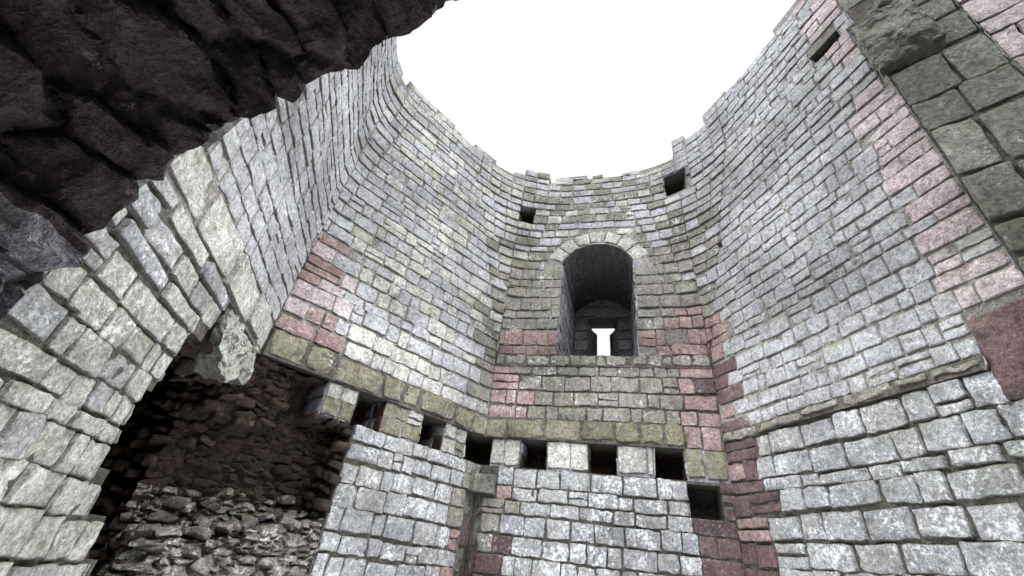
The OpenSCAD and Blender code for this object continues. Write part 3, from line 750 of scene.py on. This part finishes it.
# Of each wall: seed, what its stones are, where they stay away, and its bands of courses
HIGH_Z, HIGH_COURSE = 5.95, 0.165
LAST = [(HIGH_Z, HIGH_COURSE, SMALL), (HEAD_Z, 0, None)]
ROOM_WALLS = {
    "back": (11, back_kind, in_window_ring, [
        (0, 0.19, ROUGH), (2.24, 0.19, ROUGH), (SOCKET_Z, 0.35, ROUGH), (LINTEL_Z, 0.28, ROUGH),
        (UPPER_Z, 0.19, ROUGH), (SILL_COURSE_Z, 0.17, SMALL), (SILL_Z, 0.20, ROUGH), (5.2, 0.185, SMALL)]),
    "back_left": (12, left_kind, None, [
        (0, 0.20, ROUGH), (CHASE_TOP_Z, 0.17, ROUGH), (SOCKET_Z, 0.175, ROUGH), (LINTEL_Z, 0.28, ROUGH),
        (UPPER_Z, 0.178, ROUGH), (4.4, 0.165, SMALL)]),
    "back_right": (13, right_kind, None, [
        (0, 0.207, BROAD), (2.06, 0.23, BROAD), (2.29, 0.21, BROAD), (2.50, 0.12, BROAD), (2.62, 0.23, BROAD),
        (STRING_Z, 0.1, ROUGH), (STRING_TOP_Z, 0.17, FLUSH), (4.6, 0.16, FLUSH)]),
    "front_right": (14, plain_kind, None, [(0, 0.22, ROUGH), (GAP_SILL_Z, 0.19, SMALL)]),
    "front": (15, plain_kind, in_door_ring, [(0, 0.22, ROUGH), (1.6, 0.20, ROUGH), (LINTEL_Z, 0.18, SMALL)]),
    "front_left": (16, front_left_kind, in_fragment, [
        (0, 0.19, BROAD), (1.35, 0.19, ROUGH), (1.54, 0.15, SQUARE), (1.69, 0.145, SQUARE),
        (2.41, 0.17, SQUARE), (2.58, 0.12, LARGE), (2.70, 0.155, BROAD), (2.855, 0.125, LARGE),
        (LINTEL_Z, 0.24, LARGE), (3.3, 0.165, SMALL)]),
}
# Upper stones are smoother, from lower down on the right wall; beside the doorway all of them are
SMOOTH_CHIP, ROUGH_CHIP, WALL_CHIP_SCALE = 0.042, 0.056, 13.0
SMOOTH_Z, RIGHT_SMOOTH_Z = 4.5, 3.15


def ring_stones(masonry, face, flip, kind_at, length=0.25):
    """Arch stones side by side round the doorway, on the face given."""
    for side, centre, radius, angle in DOOR_ARCS:
        count = round(radius * angle / length)
        half = radius * angle / count / 2
        for i in range(count):
            a = angle * (i + 0.5) / count
            along = face.right * (side * flip * math.cos(a)) + UP * math.sin(a)
            middle = face.at(flip * centre, DOOR_SPRING_Z) + along * (radius + DOOR_RING / 2)
            stone, kind = Face(middle, face.normal, along), kind_at(0, 0, masonry.rng)
            masonry.put(stone, kind, -half, half, -DOOR_RING / 2, DOOR_RING / 2, ROUGH)


for wall, (seed, kind_at, avoid, bands) in ROOM_WALLS.items():
    masonry = Masonry(seed)
    masonry.wall(room_face(wall, avoid=avoid), bands + LAST, -HALF, HALF, kind_at, HALF, rounded=wall)
    if wall == "front":
        ring_stones(masonry, room_face(wall), 1, plain_kind)
    gathered = masonry.stones
    smooth_z = RIGHT_SMOOTH_Z if wall == "back_right" else SMOOTH_Z
    lower_chip = SMOOTH_CHIP if wall == "front_left" else ROUGH_CHIP
    for part, tree, chip in (("upper", SMALL_BLOCK, SMOOTH_CHIP), ("lower", LARGE_BLOCK, lower_chip)):
        masonry.stones = {}
        for kind, stones in gathered.items():
            found = [stone for stone in stones if (stone[0].z > smooth_z) == (part == "upper")]
            if found:
                masonry.stones[kind] = found
        lay(f"{part}_{wall}", masonry, tree, chip, WALL_CHIP_SCALE)

# Last broken stones on the heads of the walls: how many directions they are looked for in from the
# middle of the room, how many neighbours on each side level them, and how far and low the search goes
HEAD_STONES, HEAD_BESIDE, HEAD_REACH, LOWEST_HEAD = 96, 3, 3.7, 4


def head_at(a):
    """The highest place where a level ray from the middle of the room meets a wall, and how that faces."""
    way = Vector((math.sin(a), math.cos(a), 0))
    for z in np.arange(TOP - 0.1, LOWEST_HEAD, -0.02):
        place, normal, _, _ = CAD_SURFACE.ray_cast(Vector((0, 0, z)), way, HEAD_REACH)
        if place is not None:
            return z, place, normal
    return None


masonry = Masonry(20)
heads = [head_at(2 * math.pi * i / HEAD_STONES) for i in range(HEAD_STONES)]
lines = course_lines(HIGH_Z, HIGH_COURSE, HEAD_Z)
for i, head in enumerate(heads):
    around = [heads[(i + k) % HEAD_STONES] for k in range(-HEAD_BESIDE, HEAD_BESIDE + 1)]
    if None in around:
        continue
    (top, place, normal), heights = head, [z for z, _, _ in around]
    if max(heights) - min(heights) > 0.5 or abs(normal.z) > 0.1:
        continue
    laid = max((high for low, high in zip(lines, lines[1:]) if low + 0.8 * (high - low) <= top), default=None)
    level = min(TOP - 0.08, sum(heights) / len(heights) + masonry.rng.uniform(-0.03, 0.03))
    if laid and level - laid > 0.03:
        kind = masonry.rng.choice(["pale", "green", "stained"])
        masonry.put(Face((place.x, place.y, 0), normal), kind, -0.1, 0.1, laid, level, SMALL)
lay("heads", masonry, LARGE_BLOCK)

# Long stones of the lintel and string courses, the thin course under the window, and the chase
masonry = Masonry(21)
for wall, out, foot, head, way, kind in (
    ("back", STRING_OUT, LINTEL_Z, UPPER_Z, LONG, "sandstone"),
    ("back_left", STRING_OUT, LINTEL_Z, UPPER_Z, LONG, "sandstone"),
    ("back_right", STRING_OUT, STRING_Z, STRING_TOP_Z, LONG, "stained"),
    ("back", SILL_OUT, SILL_COURSE_Z, SILL_Z, SMALL, "stained"),
):
    masonry.course(room_face(wall, out), foot, head, -HALF, HALF, way, only(kind), split=0)
for wall, span in (("back_left", (HALF - 0.2, HALF + 0.05)), ("back", (-HALF - 0.05, -HALF + 0.12))):
    bands = [(0, 0.3, SMALL), (CHASE_TOP_Z, 0, None)]
    masonry.wall(room_face(wall, -CHASE_DEPTH), bands, *span, chase_kind, split=0)
lay("courses", masonry, LARGE_BLOCK, chip=0.10, chip_scale=9.0, square=8.0)

# Sides of the joist sockets
masonry = Masonry(22)
for wall, middles in SOCKETS.items():
    away, right = wall_axes(wall)
    for x in middles:
        for side in (-1, 1):
            cheek = Face(from_wall(wall, x + side * SOCKET_W / 2, FACE, 0), right * -side)
            span = (0.02, SOCKET_DEPTH) if cheek.right.dot(away) > 0 else (-SOCKET_DEPTH, -0.02)
            bands = [(SOCKET_Z, 0.2, SMALL), (LINTEL_Z, 0, None)]
            masonry.wall(cheek, bands, *span, socket_kind, split=0)
lay("sockets", masonry, SMALL_BLOCK)

# Window recess: splayed sides, vault and the wall round the loop
VAULT_ROWS, RING_COUNT = 9, 7
masonry = Masonry(41)
slope = (RECESS_W - RECESS_BACK_W) / 2 / RECESS_DEPTH
bands = [(SILL_Z, 0.24, SMALL), (SPRING_Z, 0.2, SMALL), (RECESS_TOP_Z, 0, None)]
for side in (-1, 1):
    jamb = Face((side * RECESS_W / 2, FACE, 0), (-side, -slope, 0))
    span = (0, RECESS_DEPTH + 0.02) if side < 0 else (-RECESS_DEPTH - 0.02, 0)
    masonry.wall(jamb, bands, *span, only("sooty"))
axis = Vector((0, FACE, RECESS_AXIS_Z))
half = RECESS_R * RECESS_TURN / VAULT_ROWS
for i in range(VAULT_ROWS):
    a = RECESS_TURN * (2 * (i + 0.5) / VAULT_ROWS - 1)
    outwards = Vector((math.sin(a), 0, math.cos(a)))
    strip = Face(axis + outwards * RECESS_R, -outwards, (math.cos(a), 0, -math.sin(a)))
    masonry.course(strip, -half, half, 0.02, RECESS_DEPTH, SMALL, only("sooty"), split=0)
masonry.wall(
    Face((0, OUTER - LOOP_WALL_T, 0), (0, -1, 0)),
    [(SILL_Z, 0.20, SMALL), (4.6, 0.24, SMALL), (5.85, 0.25, SMALL), (RECESS_TOP_Z, 0, None)],
    -RECESS_BACK_W / 2, RECESS_BACK_W / 2, only("sooty"),
)
lay("window", masonry, SMALL_BLOCK)
masonry = Masonry(42)
middle = RECESS_R + WINDOW_RING / 2
half = middle * RECESS_TURN / RING_COUNT
for i in range(RING_COUNT):
    a = RECESS_TURN * (2 * (i + 0.5) / RING_COUNT - 1)
    along = Vector((math.sin(a), 0, math.cos(a)))
    face = Face(axis + along * middle, (0, -1, 0), along)
    masonry.put(face, "green", -half, half, -WINDOW_RING / 2, WINDOW_RING / 2, ROUGH)
lay("window_ring", masonry, LARGE_BLOCK, square=6.0)

# End of the right wall in the gap: large squared olive blocks, then bleached red stone
SQUARED_DEPTH = 0.66
masonry = Masonry(43)
jamb = Face(from_wall("front_right", -HALF, FACE, 0), wall_axes("front_right")[1])
for kind, height, way, span in (
    ("olive", 0.46, LARGE, (0, SQUARED_DEPTH)), ("pink", 0.30, ROUGH, (SQUARED_DEPTH, WALL_T)),
):
    masonry.wall(jamb, [(GAP_SILL_Z, height, way), (HEAD_Z, 0, None)], *span, only(kind), split=0)
lay("jamb", masonry, LARGE_BLOCK)

# Rough lumps of masonry: voxel size, and the amount and scale of their chips
weathered("corner_blocks", "red", 0.014, 0.08, 5.0)
weathered("breach_fragment", "green", 0.014, 0.18, 6.0)
weathered("jamb_overhang", "olive", 0.014, 0.28, 3.5)
weathered("chase_block", "olive", 0.010, 0.07, 7.0)

# Rubble of the breach

# Edges of the breach in the left wall, and the height where its rubble turns dark: painted shade above it,
# painted light below
BREACH_LEFT, BREACH_RIGHT, PIER_LEFT, DARK_Z = -1.8, -0.34, -1.1, 1.8
# How far behind the walls' faces the cavities start, and how far rocks stay inside edges
BEHIND, EDGE = 0.03, 0.16


def burst(rng, places, count):
    """Rays every way from the places given."""
    for i in range(count):
        way = Vector((rng.gauss(0, 1), rng.gauss(0, 1), rng.gauss(0, 1))).normalized()
        yield places[i % len(places)], way


def in_left_cavity(place):
    x, y, z = to_wall("front_left", place)
    return FACE + BEHIND < y < FACE + BREACH_DEPTH + 0.02 and x > 0 and z < LINTEL_Z + 0.02


def in_right_cavity(place):
    x, y, z = to_wall("back_left", place)
    deep = FACE + BEHIND < y < FACE + SOCKET_DEPTH + 0.02
    return deep and BREACH_LEFT < x < BREACH_RIGHT and z < LINTEL_Z and not (x > PIER_LEFT and z > SOCKET_Z)


def sheet_mesh(points, faces, way):
    """A mesh of the faces given, turned against the way they are looked at."""
    mesh = bpy.data.meshes.new("sheet")
    mesh.from_pydata([tuple(p) for p in points], [], faces)
    if mesh.polygons[len(faces) // 2].normal.dot(way) > 0:
        mesh.flip_normals()
    return mesh


def ray_sheet(corner, across, up, way, wide, high, step, keep):
    """A sheet over what rays from a grid meet in the CAD."""
    points, index, faces = [], {}, []
    for i in range(int(wide / step) + 1):
        for j in range(int(high / step) + 1):
            start = corner + across * (i * step) + up * (j * step)
            place, normal, _, _ = CAD_SURFACE.ray_cast(start, way, 3)
            if place is not None and normal.dot(way) < 0 and keep(place):
                index[i, j] = len(points)
                points.append(place)
    for i, j in index:
        square = [index.get(place) for place in ((i, j), (i + 1, j), (i + 1, j + 1), (i, j + 1))]
        if None in square:
            continue
        depths = [points[k].dot(way) for k in square]
        if max(depths) - min(depths) < 0.3:
            faces.append(square)
    return sheet_mesh(points, faces, way)


# Foot of the linings, the height that rays to the roofs rise from, and the steps of the sheets
LINING_FOOT, ROOF_FROM_Z, FINE, COARSE = 0.06, 2.7, 0.018, 0.02
# How wide the sheets are in the left cavity and over the socket in the breach
LEFT_WIDTH, SOCKET_SPAN = 2.3, 1.0

away, right = wall_axes("front_left")
corner = from_wall("front_left", 0, FACE - 0.01, LINING_FOOT)
mesh = ray_sheet(corner, right, UP, away, LEFT_WIDTH, LINTEL_Z - LINING_FOOT, FINE, in_left_cavity)
crag("breach_left_lining", "rubble", mesh, LINING)
corner = from_wall("front_left", 0, FACE, ROOF_FROM_Z)
mesh = ray_sheet(corner, right, away, UP, LEFT_WIDTH, BREACH_DEPTH, COARSE, in_left_cavity)
crag("breach_roof_lining", "rubble", mesh, LINING)
away, right = wall_axes("back_left")
corner = from_wall("back_left", BREACH_LEFT, FACE + 0.02, ROOF_FROM_Z)
deep = SOCKET_DEPTH - 0.02
mesh = ray_sheet(corner, right, away, UP, SOCKET_SPAN, deep, COARSE, lambda place: place.z > 2.9)
crag("breach_socket_lining", "rubble", mesh, SOCKET_LINING)
# The lining is grey below that height as painted light, and dark above it as painted shade
for name, kind, foot, head in (
    ("low", "grey_rubble", LINING_FOOT, DARK_Z), ("high", "rubble", DARK_Z - 0.02, LINTEL_Z),
):
    corner = from_wall("back_left", BREACH_LEFT, FACE - 0.01, foot)
    wide = BREACH_RIGHT - BREACH_LEFT
    mesh = ray_sheet(corner, right, UP, away, wide, head - foot, FINE, in_right_cavity)
    crag(f"breach_right_{name}_lining", kind, mesh, LINING)


# Rocks low down in the breach are grey as painted light, the others dark as painted shade
def breach_rock(place, rng):
    x, _, z = to_wall("back_left", place)
    return "grey_rubble" if x > BREACH_LEFT + 0.2 and z < DARK_Z + 0.05 else "rubble"


def in_breach(place, normal):
    deep = in_left_cavity(place) and to_wall("front_left", place)[1] > FACE + EDGE
    return place.z > 0.15 and (deep or in_right_cavity(place))


masonry = Masonry(51)
heart = [from_wall("front_left", 1.1, FACE + 0.6, z) for z in (0.4, 1.0, 1.6, 2.2, 2.7)]
heart += [from_wall("back_left", -0.8, FACE - 0.3, z) for z in (0.6, 1.5, 2.0, 2.6)]
rays = burst(masonry.rng, heart, count=26000)
masonry.scatter(breach_rock, rays, spacing=0.105, sizes=(0.07, 0.15), keep=in_breach, buried=-0.03)
lay("breach_rocks", masonry, ROCK, chip=0.08, chip_scale=14.0, square=12.0)

# Broken heads of the walls, and the broken edge of the gap


def from_above(rng, count):
    """Rays down on the walls, from places round the tower."""
    for _ in range(count):
        a, r = rng.uniform(0, 2 * math.pi), rng.uniform(FACE, OUTER / math.cos(math.pi / 6))
        yield Vector((r * math.sin(a), r * math.cos(a), HEAD_Z + 1)), -UP


def on_head(place, normal):
    depth = max(place.dot(wall_axes(wall)[0]) for wall in TURNS)
    level = normal.z > 0.7 and GAP_SILL_Z - 0.1 < place.z < TOP - 0.3
    return level and FACE + EDGE < depth < OUTER - EDGE


def on_edge(place, normal):
    x, y, z = to_wall("front_right", place)
    return x > 0.5 and 3.5 < z < 7.4 and FACE + EDGE < y < OUTER - EDGE and abs(normal.z) < 0.7


def head_rock(place, rng):
    """Mixed stones, and olive ones over the squared jamb, where the view meets them from below."""
    kind = pick(rng, green=45, limestone=35, rubble=20)
    x, y, _ = to_wall("front_right", place)
    return "olive" if abs(x + HALF) < 0.35 and y < FACE + 0.5 else kind


def edge_rock(place, rng):
    return pick(rng, grey_rubble=60, rubble=40)


masonry = Masonry(52)
rays = from_above(masonry.rng, count=9000)
masonry.scatter(head_rock, rays, spacing=0.2, sizes=(0.16, 0.30), keep=on_head, buried=0.02)
heart = [from_wall("front_right", -0.3, FACE + 1.1, z) for z in (3.8, 4.6, 5.4, 6.2, 7.0)]
rays = burst(masonry.rng, heart, count=9000)
masonry.scatter(edge_rock, rays, spacing=0.14, sizes=(0.12, 0.24), keep=on_edge)
lay("head_rocks", masonry, ROCK, chip=0.10, chip_scale=8.0, square=10.0)


def soffit_sheet(name, kind, step, near, far, keep, lump=0.15):
    """Part of the underside of the doorway's arch, between two depths, as broken stones."""
    outline = []
    for side, centre, radius, angle in DOOR_ARCS:
        count = int(radius * angle / step)
        turns = [angle * i / count for i in range(count + 1)]
        arc = [(centre + side * radius * math.cos(a), DOOR_SPRING_Z + radius * math.sin(a)) for a in turns]
        outline += arc if side > 0 else arc[::-1][1:]
    wide = round((far - near) / step) + 1
    points = [from_wall("front", x, FACE + near + step * j, z) for x, z in outline for j in range(wide)]
    faces = [
        [i * wide + j, i * wide + j + 1, (i + 1) * wide + j + 1, (i + 1) * wide + j]
        for i in range(len(outline) - 1) if keep(*outline[i]) for j in range(wide - 1)
    ]
    crag(name, kind, sheet_mesh(points, faces, UP), ((lump, 2.0), (lump * 0.4, 5.0), (0.09, 10.0)))


# The underside has a fine mesh as deep as the view shows it, and is painted lighter, as lit, up to this
# height
SEEN_DEPTH, LIT_SOFFIT_Z = 0.9, 2.02


# Where the underside is painted as lit, and where as in shade
def in_soffit_light(x, z):
    return x > 0 and z < LIT_SOFFIT_Z


def in_soffit_shade(x, z):
    return x > -DOOR_POINT and not in_soffit_light(x, z)


# Most of the underside is dark as painted shade; near one springing it is grey as painted light
soffit_sheet("soffit_dark", "soffit", 0.010, 0.0, SEEN_DEPTH, in_soffit_shade)
soffit_sheet("soffit_side", "soffit", 0.015, 0.0, SEEN_DEPTH, lambda x, z: x <= -DOOR_POINT, lump=0.03)
soffit_sheet("soffit_grey", "grey_soffit", 0.010, 0.0, SEEN_DEPTH, in_soffit_light)
soffit_sheet("soffit_outer", "soffit", 0.05, SEEN_DEPTH, WALL_T, lambda x, z: True)

# Sides of the doorway's passage
masonry = Masonry(53)
away, right = wall_axes("front")
for x, normal in ((DOOR_LEFT, -right), (-DOOR_RIGHT, right)):
    jamb = Face(from_wall("front", x, FACE, 0), normal)
    span = (0, WALL_T) if jamb.right.dot(away) > 0 else (-WALL_T, 0)
    masonry.wall(jamb, [(0, 0.27, LARGE), (DOOR_SPRING_Z, 0, None)], *span, plain_kind)
lay("passage", masonry, SMALL_BLOCK)

# Outside

OUTER_BANDS = [(BASE_Z + BASE_SLOPE, 0.27, LARGE), (LINTEL_Z, 0.27, LARGE), (HEAD_Z, 0, None)]
BASE_BANDS, BASE_HALF = [(0, 0.33, LARGE), (BASE_Z, 0, None)], OUTER_HALF + 0.03

for index, wall in enumerate(TURNS):
    masonry = Masonry(31 + index)
    masonry.wall(outer_face(wall, BASE_OUT), BASE_BANDS, -BASE_HALF, BASE_HALF, outer_kind, OUTER_HALF)
    face = outer_face(wall, avoid=(lambda u, v: in_door_ring(-u, v)) if wall == "front" else None)
    masonry.wall(face, OUTER_BANDS, -OUTER_HALF, OUTER_HALF, outer_kind, OUTER_HALF)
    if wall == "front":
        ring_stones(masonry, outer_face(wall), -1, only("sandstone"))
    lay(f"outside_{wall}", masonry, PLAIN_BLOCK, chip=0.03, chip_scale=8.0)

# Floor, light and camera

bpy.ops.mesh.primitive_plane_add(size=120)
floor = bpy.context.object
floor.name = "floor"
pale = bpy.data.materials.new("pale_floor")
pale.use_nodes = True
shader = pale.node_tree.nodes["Principled BSDF"]
shader.inputs["Base Color"].default_value = linear("#d9d9d6")
shader.inputs["Roughness"].default_value = 0.9
floor.data.materials.append(pale)

# The camera sees plain white, and the stones are lit by a slightly cool sky
world = bpy.data.worlds.new("studio")
bpy.context.scene.world = world
world.use_nodes = True
sky = world.node_tree
sky.nodes.clear()
path = add(sky, "ShaderNodeLightPath").node.outputs
seen = add(sky, MATH, path["Is Camera Ray"], path["Is Glossy Ray"], operation="MAXIMUM")
white = add(sky, "ShaderNodeBackground", (1, 1, 1, 1), 1.0)
cool = add(sky, "ShaderNodeBackground", (0.95, 0.97, 1.0, 1), 1.0)
add(sky, "ShaderNodeOutputWorld", add(sky, "ShaderNodeMixShader", seen, cool, white))


def lamp(name, place, aim, size, power):
    """A round lamp that the camera doesn't see."""
    light = bpy.data.lights.new(name, "AREA")
    light.shape, light.size, light.energy = "DISK", size, power
    holder = bpy.data.objects.new(name, light)
    bpy.context.collection.objects.link(holder)
    holder.location = place
    holder.rotation_euler = (Vector(aim) - Vector(place)).to_track_quat("-Z", "Y").to_euler()
    holder.visible_camera = False


# Lamps down the middle for the open sky, one through the gap, and one that shines up from the floor
for name, height, size, power in (
    ("high_sky", 9.8, 5.0, 390), ("upper_sky", 7.4, 4.6, 100),
    ("middle_sky", 6.1, 4.4, 120), ("low_sky", 4.3, 4.0, 200),
):
    lamp(name, (0, 0, height), (0, 0, 0), size, power)
gap = from_wall("front_right", 0.6, OUTER + 1.0, 7.2)
lamp("gap_sky", gap, from_wall("front_right", -HALF, FACE + 1.0, 6.0), 2.5, 200)
lamp("ground_fill", (0, 0.2, 0.15), (0, 0.2, 5), 4.0, 150)

# The eye is under the doorway's arch, and looks up and to the left; angles in degrees
EYE, LENS, SENSOR = (0.346, -2.996, 1.6), 14.695, 36
LOOK_LEFT, LOOK_UP, ROLL = 17.33, 33.14, 7.84
camera = bpy.data.cameras.new("camera")
camera.lens, camera.sensor_width, camera.clip_start = LENS, SENSOR, 0.01
holder = bpy.data.objects.new("camera", camera)
bpy.context.collection.objects.link(holder)
holder.matrix_world = (
    Matrix.Translation(EYE)
    @ Matrix.Rotation(math.radians(LOOK_LEFT), 4, "Z")
    @ Matrix.Rotation(math.radians(90 + LOOK_UP), 4, "X")
    @ Matrix.Rotation(math.radians(ROLL), 4, "Z")
)
bpy.context.scene.camera = holder
bpy.context.scene.view_settings.view_transform = "Standard"
